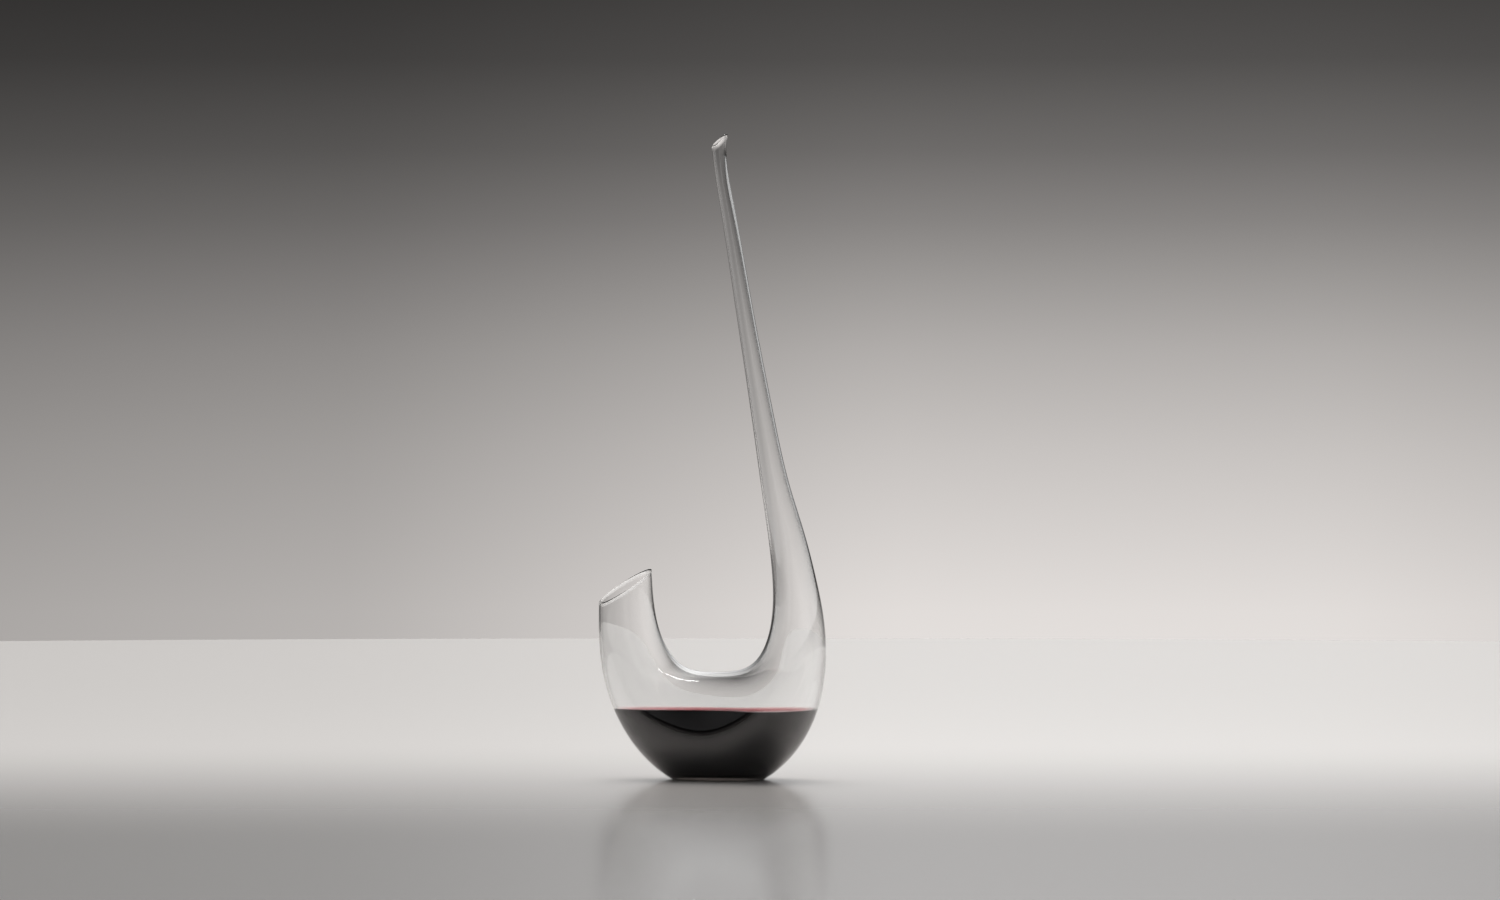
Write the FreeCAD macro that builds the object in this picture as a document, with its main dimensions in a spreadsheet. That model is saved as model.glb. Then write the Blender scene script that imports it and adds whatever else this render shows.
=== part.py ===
import FreeCAD, Part
import math
import os

# Free-blown U-shaped wine decanter, upright on its flattened foot.
# X runs from the fill spout (-X) to the pouring neck (+X), Z is up.
# The origin is the centre of the flat the decanter stands on.

# The glass is one bent tube. Each station is an ellipse across that tube, in order from the
# fill mouth down through the belly and up the neck. Its plane holds the Y axis and a line
# tilted by "tilt" degrees from +X, which points to the outside of the bend.
STATION_FIELDS = ("x", "z", "tilt", "width", "depth", "wall")
STATIONS = {
    "spout_top": (-92.0, 203.0, 182, 23.8, 28.0, 1.5),
    "spout_low": (-90.0, 150.0, 180, 26.6, 31.0, 1.6),
    "spout_root": (-84.5, 118.0, 191, 30.5, 36.5, 1.7),
    "left_flank": (-71.5, 87.5, 213, 37.0, 41.5, 1.8),
    "left_belly": (-47.0, 61.0, 237, 47.3, 49.5, 1.8),
    "belly": (1.0, 44.0, 269, 56.3, 55.0, 1.8),
    "right_belly": (45.5, 62.5, 298, 46.4, 58.5, 1.8),
    "right_flank": (65.5, 89.5, 316, 35.7, 57.5, 1.8),
    "shoulder_low": (74.5, 121.5, 332, 27.4, 52.5, 1.7),
    "shoulder_high": (76.0, 152.0, 343, 23.0, 43.5, 1.6),
    "cone_low": (72.0, 187.5, 359, 19.2, 32.0, 1.5),
    "cone_high": (64.5, 226.0, 375, 16.6, 22.0, 1.4),
    "neck_low": (54.0, 271.5, 375, 13.2, 15.0, 1.3),
    "neck_middle": (41.5, 337.5, 374, 10.4, 11.5, 1.3),
    "neck_high": (24.0, 436.0, 374, 8.1, 9.0, 1.2),
    "lip_root": (6.5, 536.5, 373, 6.6, 7.3, 1.2),
    "lip_throat": (-0.5, 584.5, 375, 6.8, 7.0, 1.2),
    "lip_top": (-0.5, 606.0, 374, 8.4, 8.4, 1.2),
}

SIZES = {
    "wine_level": 63.0,
    "floor_thickness": 4.0,
    "foot_radius": 3.0,
    "base_top": 14.0,
    "bowl_middle": 64.0,
    "bowl_top": 84.0,
    "saddle_left": -52.0,
    "saddle_right": 50.0,
    "shoulder_top": 140.0,
    "cone_top": 250.0,
    "neck_split": 345.0,
    "lip_start": 566.0,
    "mouth_x": -91.9,
    "mouth_z": 180.0,
    "mouth_slope": 33.9,
    "mouth_band": 5.0,
    "lip_x": 0.0,
    "lip_z": 595.8,
    "lip_slope": 39.5,
    "rim_round": 0.6,
    "lip_round": 0.5,
    "reach": 260.0,
    "clear_height": 700.0,
}

doc = FreeCAD.newDocument("decanter")
sheet = doc.addObject("Spreadsheet::Sheet", "Sizes")


def write_sheet():
    rows = dict(SIZES)
    for station, values in STATIONS.items():
        for field, value in zip(STATION_FIELDS, values):
            rows[f"{station}_{field}"] = value
    for number, (name, value) in enumerate(rows.items(), start=1):
        sheet.set(f"A{number}", name)
        sheet.set(f"B{number}", str(value))
        sheet.setAlias(f"B{number}", name)
    doc.recompute()


def size(name):
    return float(sheet.get(name))


def bind(item, **sizes):
    for field, formula in sizes.items():
        item.setExpression(field, formula)


def place(item, x, y, z, turn="rotation(vector(0; 1; 0); 0)"):
    item.setExpression("Placement", f"placement(vector({x}; {y}; {z}); {turn})")


def quarter(width, depth, start):
    # One quarter of the ellipse as a cubic curve, from the angle "start".
    def at(angle):
        return FreeCAD.Vector(depth * math.sin(angle), width * math.cos(angle), 0)

    def along(angle):
        return FreeCAD.Vector(depth * math.cos(angle), -width * math.sin(angle), 0)

    end = start + math.pi / 2
    handle = 4 / 3 * math.tan(math.pi / 8)
    curve = Part.BezierCurve()
    curve.setPoles([at(start), at(start) + along(start) * handle, at(end) - along(end) * handle, at(end)])
    return curve.toShape()


def station_ring(station, surface):
    # A loft through whole ellipses comes out far too small, so each ring is four quarters.
    inset = 0 if surface == "outside" else size(f"{station}_wall")
    width = size(f"{station}_width") - inset
    depth = size(f"{station}_depth") - inset
    ring = doc.addObject("Part::Feature", f"{station}_{surface}")
    ring.Shape = Part.Wire([quarter(width, depth, number * math.pi / 2) for number in range(4)])
    upright = "rotation(vector(1; 1; 0); 180)"
    tilt = f"rotation(vector(0; 1; 0); -Sizes.{station}_tilt)"
    place(ring, f"Sizes.{station}_x", "0", f"Sizes.{station}_z", f"{tilt} * {upright}")
    return ring


def tube(surface):
    loft = doc.addObject("Part::Loft", f"tube_{surface}")
    loft.Sections = [station_ring(station, surface) for station in STATIONS]
    loft.Solid = True
    loft.Ruled = False
    loft.MaxDegree = 2
    return loft


def block(name, x_low, x_high, z_low, z_high):
    box = doc.addObject("Part::Box", name)
    bind(box, Length=f"{x_high} - {x_low}", Width="2 * Sizes.reach", Height=f"{z_high} - {z_low}")
    place(box, x_low, "-Sizes.reach", z_low)
    return box


def slanted_block(name, end, below="0"):
    # Everything above the slanted plane of a mouth, moved down its own normal by "below".
    box = doc.addObject("Part::Box", name)
    bind(box, Length="Sizes.reach", Width="Sizes.reach", Height="Sizes.reach / 3")
    slope = f"Sizes.{end}_slope"
    x = f"Sizes.{end}_x - cos({slope} * 1 deg) * Sizes.reach / 2 + sin({slope} * 1 deg) * {below}"
    z = f"Sizes.{end}_z - sin({slope} * 1 deg) * Sizes.reach / 2 - cos({slope} * 1 deg) * {below}"
    place(box, x, "-Sizes.reach / 2", z, f"rotation(vector(0; 1; 0); -{slope})")
    return box


def combine(kind, name, base, tool):
    result = doc.addObject(f"Part::{kind}", name)
    result.Base = base
    result.Tool = tool
    return result


def glass_forms():
    stand = block("above_table", "-Sizes.reach", "Sizes.reach", "0", "Sizes.clear_height")
    hollow = block("above_floor", "-Sizes.reach", "Sizes.reach", "Sizes.floor_thickness", "Sizes.clear_height")
    outside = combine("Common", "outside_form", tube("outside"), stand)
    inside = combine("Common", "inside_form", tube("inside"), hollow)
    shell = combine("Cut", "shell", outside, inside)
    open_spout = combine("Cut", "shell_open_spout", shell, slanted_block("spout_cut", "mouth"))
    return combine("Cut", "glass", open_spout, slanted_block("lip_cut", "lip")), inside


def rounded(label, solid, radius, on_edge):
    fillet = doc.addObject("Part::Fillet", label)
    fillet.Base = solid
    doc.recompute()
    edges = [number for number, edge in enumerate(solid.Shape.Edges, start=1) if on_edge(edge)]
    fillet.Edges = [(number, radius, radius) for number in edges]
    return fillet


def lies_flat(edge):
    return edge.BoundBox.ZMax < 0.01


def on_slant(end):
    slope = math.radians(size(f"{end}_slope"))

    def check(edge):
        points = edge.discretize(9)
        heights = [
            (point.z - size(f"{end}_z")) * math.cos(slope) - (point.x - size(f"{end}_x")) * math.sin(slope)
            for point in points
        ]
        return max(abs(height) for height in heights) < 0.01

    return check


def make_base(glass):
    region = block("base_region", "-Sizes.reach", "Sizes.reach", "0", "Sizes.base_top")
    slab = combine("Common", "base_slab", glass, region)
    return rounded("base", slab, size("foot_radius"), lies_flat)


def make_layer(label, glass, x_low, x_high, z_low, z_high):
    return combine("Common", label, glass, block(f"{label}_region", x_low, x_high, z_low, z_high))


def make_fill_mouth(glass):
    arm = make_layer("spout_arm", glass, "-Sizes.reach", "0", "Sizes.shoulder_top", "Sizes.cone_top")
    band = slanted_block("mouth_region", "mouth", "Sizes.mouth_band")
    spout = combine("Cut", "fill_spout", arm, band)
    rim = combine("Common", "rim_band", arm, band)
    return spout, rounded("fill_rim", rim, size("rim_round"), on_slant("mouth"))


def make_pour_lip(glass):
    end = make_layer("lip_end", glass, "-Sizes.reach", "Sizes.reach", "Sizes.lip_start", "Sizes.clear_height")
    return rounded("pour_lip", end, size("lip_round"), on_slant("lip"))


def make_wine(inside):
    full = "-Sizes.reach", "Sizes.reach"
    return make_layer("wine", inside, *full, "Sizes.floor_thickness", "Sizes.wine_level")


def export(parts):
    doc.recompute()
    for item in doc.Objects:
        failed = {"Invalid", "Error"} & set(item.State)
        if failed:
            raise RuntimeError(f"{item.Label}: {sorted(failed)}")
    os.makedirs("parts", exist_ok=True)
    for part in parts:
        if part.Shape.isNull() or not part.Shape.isValid():
            raise RuntimeError(f"{part.Label}: bad shape")
        part.Shape.exportStep(f"parts/{part.Label}.step")
        print(f"{part.Label:14s} {part.Shape.Volume / 1000:8.1f} ml, {len(part.Shape.Solids)} solid")


write_sheet()
glass, inside = glass_forms()
everywhere = "-Sizes.reach", "Sizes.reach"
spout_side = "-Sizes.reach", "Sizes.saddle_left"
bridge = "Sizes.saddle_left", "Sizes.saddle_right"
shoulder_side = "Sizes.saddle_right", "Sizes.reach"
neck_side = "0", "Sizes.reach"
shoulders = "Sizes.bowl_top", "Sizes.shoulder_top"
parts = [
    make_base(glass),
    make_layer("bowl_lower", glass, *everywhere, "Sizes.base_top", "Sizes.bowl_middle"),
    make_layer("bowl_upper", glass, *everywhere, "Sizes.bowl_middle", "Sizes.bowl_top"),
    make_layer("spout_shoulder", glass, *spout_side, *shoulders),
    make_layer("saddle", glass, *bridge, *shoulders),
    make_layer("neck_shoulder", glass, *shoulder_side, *shoulders),
    *make_fill_mouth(glass),
    make_layer("neck_cone", glass, *neck_side, "Sizes.shoulder_top", "Sizes.cone_top"),
    make_layer("neck_lower", glass, *neck_side, "Sizes.cone_top", "Sizes.neck_split"),
    make_layer("neck_upper", glass, *everywhere, "Sizes.neck_split", "Sizes.lip_start"),
    make_pour_lip(glass),
    make_wine(inside),
]
export(parts)
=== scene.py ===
from math import cos, exp, pi, radians, sin

import bmesh
import bpy
import numpy as np
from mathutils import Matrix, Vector
from mathutils.bvhtree import BVHTree


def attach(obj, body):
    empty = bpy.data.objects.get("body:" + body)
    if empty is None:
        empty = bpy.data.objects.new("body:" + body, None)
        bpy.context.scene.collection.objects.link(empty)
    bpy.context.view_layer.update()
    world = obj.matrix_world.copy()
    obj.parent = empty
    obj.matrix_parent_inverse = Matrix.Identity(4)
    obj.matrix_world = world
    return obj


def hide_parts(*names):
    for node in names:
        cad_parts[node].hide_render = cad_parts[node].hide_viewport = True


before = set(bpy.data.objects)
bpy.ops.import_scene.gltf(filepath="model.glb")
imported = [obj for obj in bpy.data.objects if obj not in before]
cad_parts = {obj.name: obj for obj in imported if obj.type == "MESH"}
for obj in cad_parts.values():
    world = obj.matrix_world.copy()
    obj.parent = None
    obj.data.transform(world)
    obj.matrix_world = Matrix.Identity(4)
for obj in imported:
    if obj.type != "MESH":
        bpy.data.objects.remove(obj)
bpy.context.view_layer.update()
print("frame loaded")

mm = 0.001

view = {
    "azimuth": 16,      # degrees from the front towards the pouring neck
    "distance": 6.0,
    "height": 0.307,
    "aside": 0.028,     # the view is centred this far to the right of the foot
    "lens": 154.5,
    "farthest": 60,
}


def addObject(name, data):
    thing = bpy.data.objects.new(name, data)
    bpy.context.scene.collection.objects.link(thing)
    return thing


def rightOfView():
    turn = radians(view["azimuth"])
    return Vector((cos(turn), sin(turn), 0))


def towardsCamera():
    turn = radians(view["azimuth"])
    return Vector((sin(turn), -cos(turn), 0))


def addCamera():
    camera = addObject("camera", bpy.data.cameras.new("camera"))
    camera.location = rightOfView() * view["aside"] + towardsCamera() * view["distance"]
    camera.location.z = view["height"]
    camera.rotation_euler = (pi / 2, 0, radians(view["azimuth"]))
    camera.data.lens = view["lens"]
    camera.data.clip_end = view["farthest"]
    bpy.context.scene.camera = camera


addCamera()
print("camera placed")

# the glass is one bent tube, its inside and outside joined by rounded rims
glass = {
    # x, z, tilt in degrees, half width, half depth and wall in millimetres, from the fill mouth to the lip
    "stations": (
        (-92.0, 203.0, 182, 23.8, 28.0, 1.5),
        (-90.0, 150.0, 180, 26.6, 31.0, 1.6),
        (-84.5, 118.0, 191, 30.5, 36.5, 1.7),
        (-71.5, 87.5, 213, 37.0, 41.5, 1.8),
        (-47.0, 61.0, 237, 47.3, 49.5, 1.8),
        (1.0, 44.0, 269, 56.3, 55.0, 1.8),
        (45.5, 62.5, 298, 46.4, 58.5, 1.8),
        (65.5, 89.5, 316, 35.7, 57.5, 1.8),
        (74.5, 121.5, 332, 27.4, 52.5, 1.7),
        (76.0, 152.0, 343, 23.0, 43.5, 1.6),
        (72.0, 187.5, 359, 19.2, 32.0, 1.5),
        (64.5, 226.0, 375, 16.6, 22.0, 1.4),
        (54.0, 271.5, 375, 13.2, 15.0, 1.3),
        (41.5, 337.5, 374, 10.4, 11.5, 1.3),
        (24.0, 436.0, 374, 8.1, 9.0, 1.2),
        (6.5, 536.5, 373, 6.6, 7.3, 1.2),
        (-0.5, 584.5, 375, 6.8, 7.0, 1.2),
        (-0.5, 606.0, 374, 8.4, 8.4, 1.2),
    ),
    "sides": 128,
    "crowding": 0.35,       # how far the sides crowd towards the outside of the bend
    "ringStep": 4.5 * mm,   # the rings' spacing where the tube is narrowest
    "ringPinch": 0.055,     # how much closer the rings get for each metre of half width
    "ringSearch": 2000,     # steps used to space the rings
    "footSoftness": 1.2 * mm,
    "floorThickness": 4.0 * mm,
    "floorSoftness": 3.0 * mm,
    "mouth": (-91.9 * mm, 180.0 * mm, radians(33.9)),   # x, z and slope of the plane that cuts it
    "lip": (0.0, 595.8 * mm, radians(39.5)),
    "slantSearch": 200,     # steps used to find where a slanted plane cuts the tube
    "slantReach": 70 * mm,  # how far below a slanted rim the rings still slant
    "rimSteps": 9,
}
stations = np.array(glass["stations"]) * (mm, mm, pi / 180, mm, mm, mm)
walls = stations[:, 5]
stops = np.concatenate(([0], np.cumsum(np.hypot(*np.diff(stations[:, :2], axis=0).T))))
cutStretch = {"mouth": (stops[2], stops[0]), "lip": (stops[-4], stops[-1])}


def splineThrough(stops, values, at):
    # a natural cubic curve through every station
    gaps = np.diff(stops)[:, None]
    slopes = np.diff(values, axis=0) / gaps
    system = np.eye(len(stops))
    right = np.zeros(values.shape)
    for k in range(1, len(stops) - 1):
        system[k, k - 1:k + 2] = gaps[k - 1, 0], 2 * (gaps[k - 1, 0] + gaps[k, 0]), gaps[k, 0]
        right[k] = 6 * (slopes[k] - slopes[k - 1])
    bend = np.linalg.solve(system, right)
    k = np.clip(np.searchsorted(stops, at) - 1, 0, len(stops) - 2)
    ahead = (at - stops[k])[:, None] / gaps[k]
    back = 1 - ahead
    curve = (back ** 3 - back) * bend[k] + (ahead ** 3 - ahead) * bend[k + 1]
    return back * values[k] + ahead * values[k + 1] + curve * gaps[k] ** 2 / 6


def tubePoints(along, around, inset):
    # inset is 0 on the outside of the glass and 1 on the inside
    values = splineThrough(stops, stations, np.ravel(along)).reshape(*np.shape(along), 6)
    x, z, tilt, width, depth, wall = np.moveaxis(values, -1, 0)
    reach = (width - inset * wall) * np.cos(around)
    side = (depth - inset * wall) * np.sin(around)
    return np.stack((x + reach * np.cos(tilt), side, z + reach * np.sin(tilt)), axis=-1)


def aroundTube():
    even = np.arange(glass["sides"]) * 2 * pi / glass["sides"]
    return even - glass["crowding"] * np.sin(even)


def slantCut(end, inset):
    # where each side of the tube crosses the slanted plane of a mouth
    x, z, slope = glass[end]
    along = np.linspace(*cutStretch[end], glass["slantSearch"])
    around = aroundTube()
    points = tubePoints(along[:, None] + 0 * around, around[None], inset)
    above = (points[..., 2] - z) * cos(slope) - (points[..., 0] - x) * sin(slope)
    return np.array([np.interp(0, column, along) for column in above.T])


def ringStops(first, last):
    fine = np.linspace(first, last, glass["ringSearch"])
    width = splineThrough(stops, stations, fine)[:, 3]
    count = np.cumsum(1 / (glass["ringStep"] - glass["ringPinch"] * width)) * (fine[1] - fine[0])
    return np.interp(np.linspace(count[0], count[-1], int(count[-1])), count, fine)


def softFloor(height, level, softness):
    rise = height - level
    blend = (rise + softness) ** 2 / (4 * softness)
    return level + np.where(rise > softness, rise, np.where(rise < -softness, 0, blend))


def fade(distance):
    near = np.clip(1 - distance / glass["slantReach"], 0, 1)
    return near * near * (3 - 2 * near)


def wallGrid(rings, inset):
    # each end stops half a wall short, which leaves room for its half-round rim
    mouth = slantCut("mouth", inset) + walls[0] / 2
    lip = slantCut("lip", inset) - walls[-1] / 2
    along = rings[:, None] + 0 * mouth
    along += (mouth - rings[0]) * fade(rings - rings[0])[:, None]
    along += (lip - rings[-1]) * fade(rings[-1] - rings)[:, None]
    points = tubePoints(along, aroundTube()[None], inset)
    level = inset * glass["floorThickness"]
    softness = glass["floorSoftness"] if inset else glass["footSoftness"]
    points[..., 2] = softFloor(points[..., 2], level, softness)
    return points


def rimRows(outer, outerBefore, inner, innerBefore):
    # a half round from the outer edge over to the inner one
    half = (outer - inner) / 2
    ahead = (outer - outerBefore) + (inner - innerBefore)
    ahead *= np.linalg.norm(half, axis=1, keepdims=True) / np.linalg.norm(ahead, axis=1, keepdims=True)
    turns = np.linspace(0, pi, glass["rimSteps"] + 2)[1:-1]
    return [(outer + inner) / 2 + half * cos(turn) + ahead * sin(turn) for turn in turns]


def ringFaces(count, sides, joinEnds=False):
    # four-cornered faces from each ring of points to the next one
    row, side = np.meshgrid(np.arange(count if joinEnds else count - 1), np.arange(sides), indexing="ij")
    nextRow, nextSide = (row + 1) % count, (side + 1) % sides
    corners = (row, side), (row, nextSide), (nextRow, nextSide), (nextRow, side)
    return np.stack([r * sides + s for r, s in corners], axis=-1).reshape(-1, 4).tolist()


def smoothPiece(name, points, faces):
    mesh = bpy.data.meshes.new(name)
    mesh.from_pydata(points, [], faces)
    work = bmesh.new()
    work.from_mesh(mesh)
    bmesh.ops.recalc_face_normals(work, faces=work.faces)
    work.to_mesh(mesh)
    work.free()
    mesh.shade_smooth()
    return addObject(name, mesh)


firstStop = slantCut("mouth", 0).mean()
lastStop = slantCut("lip", 0).mean()
rings = ringStops(firstStop, lastStop)
outerWall = wallGrid(rings, 0)
innerWall = wallGrid(rings, 1)
lipRows = rimRows(outerWall[-1], outerWall[-2], innerWall[-1], innerWall[-2])
mouthRows = rimRows(outerWall[0], outerWall[1], innerWall[0], innerWall[1])
wholeTube = np.stack([*outerWall, *lipRows, *innerWall[::-1], *mouthRows[::-1]])
tubeFaces = ringFaces(*wholeTube.shape[:2], joinEnds=True)
decanterGlass = smoothPiece("decanterGlass", wholeTube.reshape(-1, 3).tolist(), tubeFaces)
print("glass:", len(rings), "rings,", len(decanterGlass.data.polygons), "faces")

# the wine fills the inside up to its level and climbs a little where it meets the glass
wine = {
    "level": 63.0 * mm,
    "centre": 0.0,          # x of the upright line that its rings of points lie around
    "climb": 3.0 * mm,
    "climbWidth": 2.6 * mm,
    "climbRows": (0.3, 0.6, 1.0, 1.5, 2.1, 2.9, 4.0, 5.5, 8.0),     # millimetres in from the glass
    "surfaceRows": (0.85, 0.6, 0.35, 0.12),     # share of the way out to the last row of the climb
    "overlap": 0.12 * mm,   # how far the wine reaches into the glass, so no air is left between
    "sides": 160,
    "rows": 70,
}


def insideTree():
    return BVHTree.FromPolygons(innerWall.reshape(-1, 3).tolist(), ringFaces(*innerWall.shape[:2]))


def wallRow(tree, height, drop):
    start = Vector((wine["centre"], 0, height))
    row = []
    for turn in np.arange(wine["sides"]) * 2 * pi / wine["sides"]:
        way = Vector((cos(drop) * cos(turn), cos(drop) * sin(turn), -sin(drop)))
        hit, normal, index, distance = tree.ray_cast(start, way)
        row.append(hit + way * wine["overlap"])
    return np.array(row)


def climbAt(distance):
    return wine["climb"] * exp(-distance / wine["climbWidth"])


def surfaceRings(contact):
    # from the middle of the surface out to the glass
    centre = np.array((wine["centre"], 0, wine["level"]))
    away = contact - centre
    away[:, 2] = 0
    away /= np.linalg.norm(away, axis=1, keepdims=True)
    surface = []
    for distance in wine["climbRows"]:
        row = contact - away * distance * mm
        row[:, 2] = wine["level"] + climbAt(distance * mm)
        surface.append(row)
    flat = surface[-1] - centre
    surface += [centre + flat * (share, share, 0) for share in wine["surfaceRows"]]
    return surface[::-1]


def makeWine():
    sides = wine["sides"]
    tree = insideTree()
    contact = wallRow(tree, wine["level"] + wine["climb"], 0)
    surface = surfaceRings(contact)
    drops = np.linspace(0, pi / 2, wine["rows"] + 1)[:-1]
    below = [wallRow(tree, wine["level"], drop) for drop in drops]
    rows = [*surface, contact, *below]
    points = [tuple(point) for row in rows for point in row]
    faces = ringFaces(len(rows), sides)
    top, bottom, last = len(points), len(points) + 1, len(points) - sides
    for height in (wine["level"], glass["floorThickness"] - wine["overlap"]):
        points.append((wine["centre"], 0, height))
    for side in range(sides):
        after = (side + 1) % sides
        faces.append((top, side, after))
        faces.append((bottom, last + after, last + side))
    piece = smoothPiece("wineFill", points, faces)
    for line in piece.data.edges:
        if all(vertex // sides == len(surface) for vertex in line.vertices):
            line.use_edge_sharp = True      # where the wine's surface meets the glass
    return piece


wineFill = makeWine()
print("wine:", len(wineFill.data.polygons), "faces")

crystal = {
    "bending": 1.52,        # index of refraction
    "waves": 14,            # long soft waves, as drawn and blown glass has, in each metre
    "waveDepth": 0.02 * mm,
    "tint": (0.80, 0.86, 0.85, 1),
    "tintStrength": 12,
}
redWine = {
    "bending": 1.345,
    "tint": (0.72, 0.02, 0.09, 1),
    "tintStrength": 420,
}


def newMaterial(name):
    material = bpy.data.materials.new(name)
    material.use_nodes = True
    nodes = material.node_tree.nodes
    return material, nodes, material.node_tree.links, nodes["Principled BSDF"]


def clearMaterial(name, look):
    # clear all through, and coloured by how thick it is
    material, nodes, links, shader = newMaterial(name)
    shader.inputs["Base Color"].default_value = (1, 1, 1, 1)
    shader.inputs["Roughness"].default_value = 0
    shader.inputs["IOR"].default_value = look["bending"]
    shader.inputs["Transmission Weight"].default_value = 1
    volume = nodes.new("ShaderNodeVolumeAbsorption")
    volume.inputs["Color"].default_value = look["tint"]
    volume.inputs["Density"].default_value = look["tintStrength"]
    links.new(volume.outputs["Volume"], nodes["Material Output"].inputs["Volume"])
    return material, nodes, links, shader


def crystalMaterial():
    material, nodes, links, shader = clearMaterial("crystal", crystal)
    place, waves, bump = (nodes.new(f"ShaderNode{kind}") for kind in ("TexCoord", "TexNoise", "Bump"))
    waves.inputs["Scale"].default_value = crystal["waves"]
    waves.inputs["Detail"].default_value = 0
    bump.inputs["Distance"].default_value = crystal["waveDepth"]
    links.new(place.outputs["Object"], waves.inputs["Vector"])
    links.new(waves.outputs["Fac"], bump.inputs["Height"])
    links.new(bump.outputs["Normal"], shader.inputs["Normal"])
    return material


def wineMaterial():
    return clearMaterial("redWine", redWine)[0]


decanterGlass.visible_shadow = False  # the clear glass lets the light through
decanterGlass.data.materials.append(crystalMaterial())
wineFill.data.materials.append(wineMaterial())
print("materials made")


def dotWith(nodes, links, vector, direction):
    dot = nodes.new("ShaderNodeVectorMath")
    dot.operation = "DOT_PRODUCT"
    links.new(vector, dot.inputs[0])
    dot.inputs[1].default_value = direction
    return dot.outputs["Value"]


def mapped(nodes, links, value, fromRange, toRange):
    change = nodes.new("ShaderNodeMapRange")
    change.interpolation_type = "SMOOTHSTEP"
    links.new(value, change.inputs["Value"])
    change.inputs["From Min"].default_value, change.inputs["From Max"].default_value = fromRange
    change.inputs["To Min"].default_value, change.inputs["To Max"].default_value = toRange
    return change.outputs["Result"]


stage = {
    "radius": 4.5,
    "sides": 160,
    "pale": (0.90, 0.873, 0.85, 1),     # under and behind the decanter
    # painted shade: the dark colour the floor fades to in front, standing in for light falling off there
    "front": (0.20, 0.188, 0.18, 1),
    "change": (-0.75, 1.0),     # metres in front of the foot, where pale starts and ends turning dark, a painted shade in place of the light falling off in front
    "sheen": 0.35,
    "roughness": 0.20,
}


# the floor's colour fades from pale to a painted shade towards the front
def floorMaterial():
    material, nodes, links, shader = newMaterial("floorWithPaintedShade")
    place, mix = nodes.new("ShaderNodeTexCoord"), nodes.new("ShaderNodeMix")
    toFront = dotWith(nodes, links, place.outputs["Object"], towardsCamera())
    mix.data_type = "RGBA"
    links.new(mapped(nodes, links, toFront, stage["change"], (0, 1)), mix.inputs["Factor"])
    mix.inputs[6].default_value = stage["pale"]     # the first and second colour: the floor's pale and the painted shade in front
    mix.inputs[7].default_value = stage["front"]
    links.new(mix.outputs[2], shader.inputs["Base Color"])
    shader.inputs["Roughness"].default_value = stage["roughness"]
    shader.inputs["Specular IOR Level"].default_value = stage["sheen"]
    return material


def makeFloor():
    mesh = bpy.data.meshes.new("floor")
    work = bmesh.new()
    bmesh.ops.create_circle(work, cap_ends=True, segments=stage["sides"], radius=stage["radius"])
    work.to_mesh(mesh)
    work.free()
    floor = addObject("floor", mesh)
    floor.data.materials.append(floorMaterial())


sky = {
    # sine of the elevation and level, from below the horizon to above it
    "levels": (
        (-0.080, 0.87), (-0.046, 0.84), (-0.025, 0.72), (0.0, 0.544), (0.0155, 0.419),
        (0.0233, 0.345), (0.0357, 0.227), (0.0466, 0.146), (0.0606, 0.08), (0.080, 0.04),
    ),
    "tint": (1.05, 1.0, 0.97),
    # sine of the angle to the right of straight behind, and the share of the level there
    "across": (
        (-1.0, 0.55), (-0.65, 0.50), (-0.38, 0.14), (-0.06, 0.62), (0.02, 1.0),
        (0.09, 1.0), (0.40, 0.14), (0.65, 0.60), (1.0, 0.65),
    ),
    "front": 0.35,              # share of the level in front
    "frontChange": (-0.5, 0.5),     # sine of the angle towards the front, where that share sets in
}


def levelRamp(nodes, links, value, levels, tint):
    low, high = levels[0][0], levels[-1][0]
    along, ramp = nodes.new("ShaderNodeMapRange"), nodes.new("ShaderNodeValToRGB")
    links.new(value, along.inputs["Value"])
    along.inputs["From Min"].default_value, along.inputs["From Max"].default_value = low, high
    links.new(along.outputs["Result"], ramp.inputs["Fac"])
    colors = ramp.color_ramp.elements
    for stop, (place, level) in zip([*colors, *(colors.new(0.5) for extra in levels[2:])], levels):
        stop.position = (place - low) / (high - low)
        stop.color = (*(level * share for share in tint), 1)
    return ramp.outputs["Color"]


def scaled(nodes, links, color, factor):
    product = nodes.new("ShaderNodeVectorMath")
    product.operation = "SCALE"
    links.new(color, product.inputs[0])
    links.new(factor, product.inputs["Scale"])
    return product.outputs["Vector"]


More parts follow.
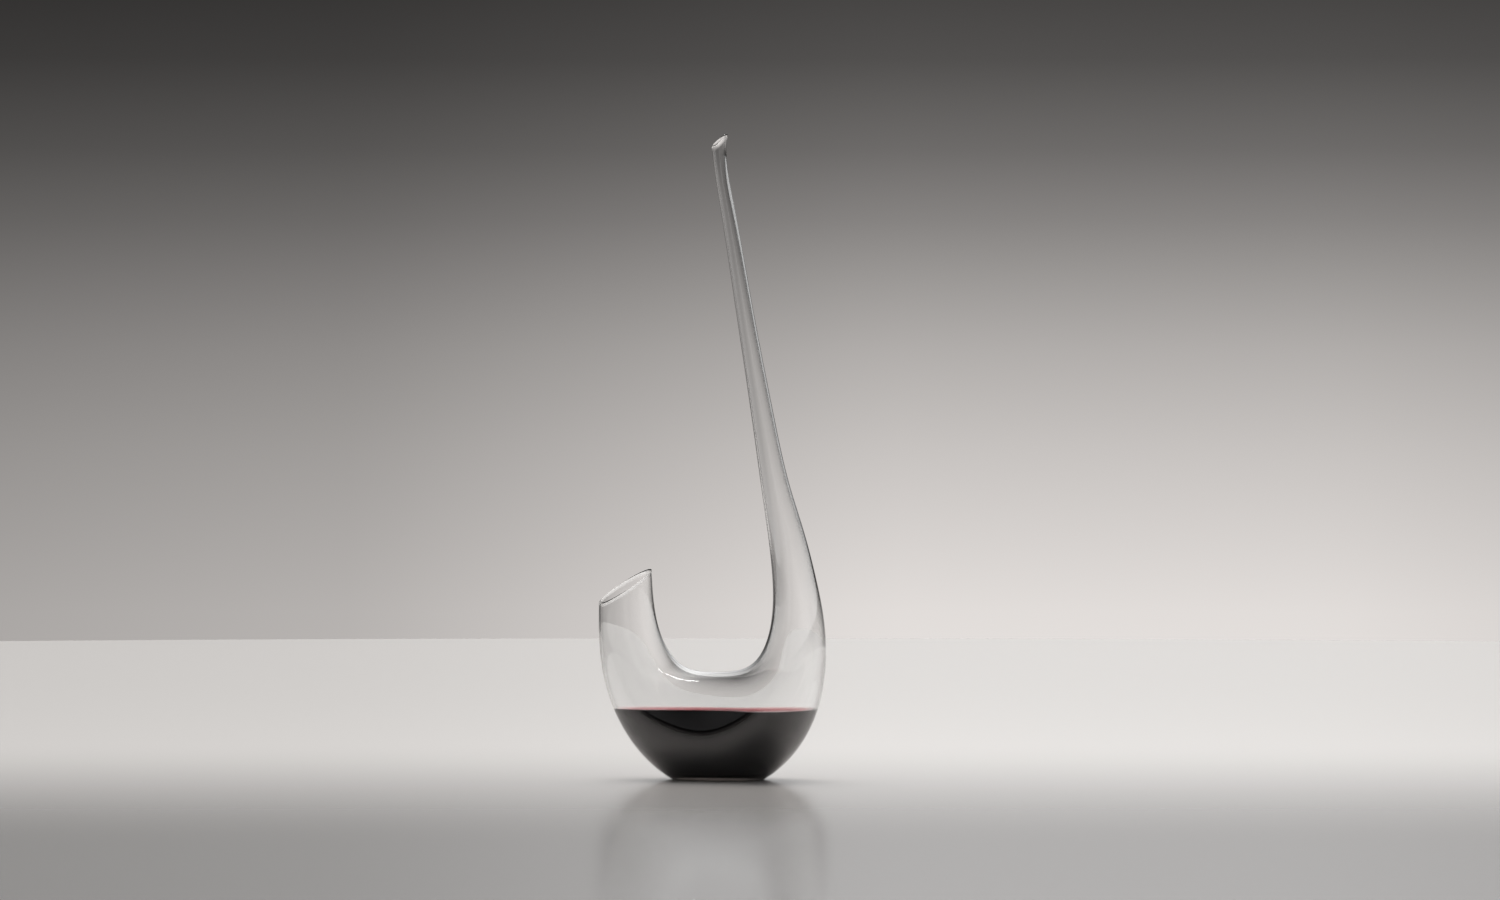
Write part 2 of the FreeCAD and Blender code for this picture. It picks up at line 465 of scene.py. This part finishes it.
def softWorld():
    # bright low down straight behind, darker to both sides of that and above
    world = bpy.data.worlds.new("studio")
    world.use_nodes = True
    bpy.context.scene.world = world
    nodes, links = world.node_tree.nodes, world.node_tree.links
    place, split = nodes.new("ShaderNodeTexCoord"), nodes.new("ShaderNodeSeparateXYZ")
    links.new(place.outputs["Generated"], split.inputs["Vector"])
    toRight = dotWith(nodes, links, place.outputs["Generated"], rightOfView())
    toFront = dotWith(nodes, links, place.outputs["Generated"], towardsCamera())
    across = levelRamp(nodes, links, toRight, sky["across"], (1, 1, 1))
    frontShare = mapped(nodes, links, toFront, sky["frontChange"], (1, sky["front"]))
    color = levelRamp(nodes, links, split.outputs["Z"], sky["levels"], sky["tint"])
    for share in (across, frontShare):
        color = scaled(nodes, links, color, share)
    links.new(color, nodes["Background"].inputs["Color"])


backSun = {
    "power": 3.1,
    "height": 38,       # degrees
    "turn": -8,         # degrees from straight behind, to the left
    "softness": 60,     # degrees across
    "tint": (1.0, 0.97, 0.945),
}


def addSun():
    # lights the floor from behind, but shows neither in the glass nor in the floor's sheen
    light = bpy.data.lights.new("backSun", "SUN")
    light.energy = backSun["power"]
    light.angle = radians(backSun["softness"])
    light.color = backSun["tint"]
    turn, rise = radians(backSun["turn"]), radians(backSun["height"])
    way = (rightOfView() * sin(turn) - towardsCamera() * cos(turn)) * cos(rise) + Vector((0, 0, sin(rise)))
    sun = addObject("backSun", light)
    sun.rotation_euler = (-way).to_track_quat("-Z", "Y").to_euler()
    sun.visible_glossy = False
    sun.visible_transmission = False


overhead = {
    "right": 0.3,
    "front": -0.25,     # behind the decanter
    "height": 1.9,
    "size": (1.7, 0.07),
    "power": 5,
    "aim": (0, 0, 0.2),
}


def addOverhead():
    # a long narrow light above the decanter, for highlights on the glass
    light = bpy.data.lights.new("overhead", "AREA")
    light.shape = "RECTANGLE"
    light.size, light.size_y = overhead["size"]
    light.energy = overhead["power"]
    box = addObject("overhead", light)
    across = rightOfView() * overhead["right"] + towardsCamera() * overhead["front"]
    box.location = across + Vector((0, 0, overhead["height"]))
    box.rotation_euler = (Vector(overhead["aim"]) - box.location).to_track_quat("-Z", "Y").to_euler()
    box.visible_camera = False
    box.visible_transmission = False


makeFloor()
softWorld()
addSun()
addOverhead()
scene = bpy.context.scene
scene.view_settings.view_transform = "Standard"
scene.cycles.max_bounces = 24
scene.cycles.transmission_bounces = 24
scene.cycles.use_denoising = True
print("studio lit")

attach(decanterGlass, "root")
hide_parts(*[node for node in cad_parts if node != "wine"])
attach(wineFill, "root")
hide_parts("wine")
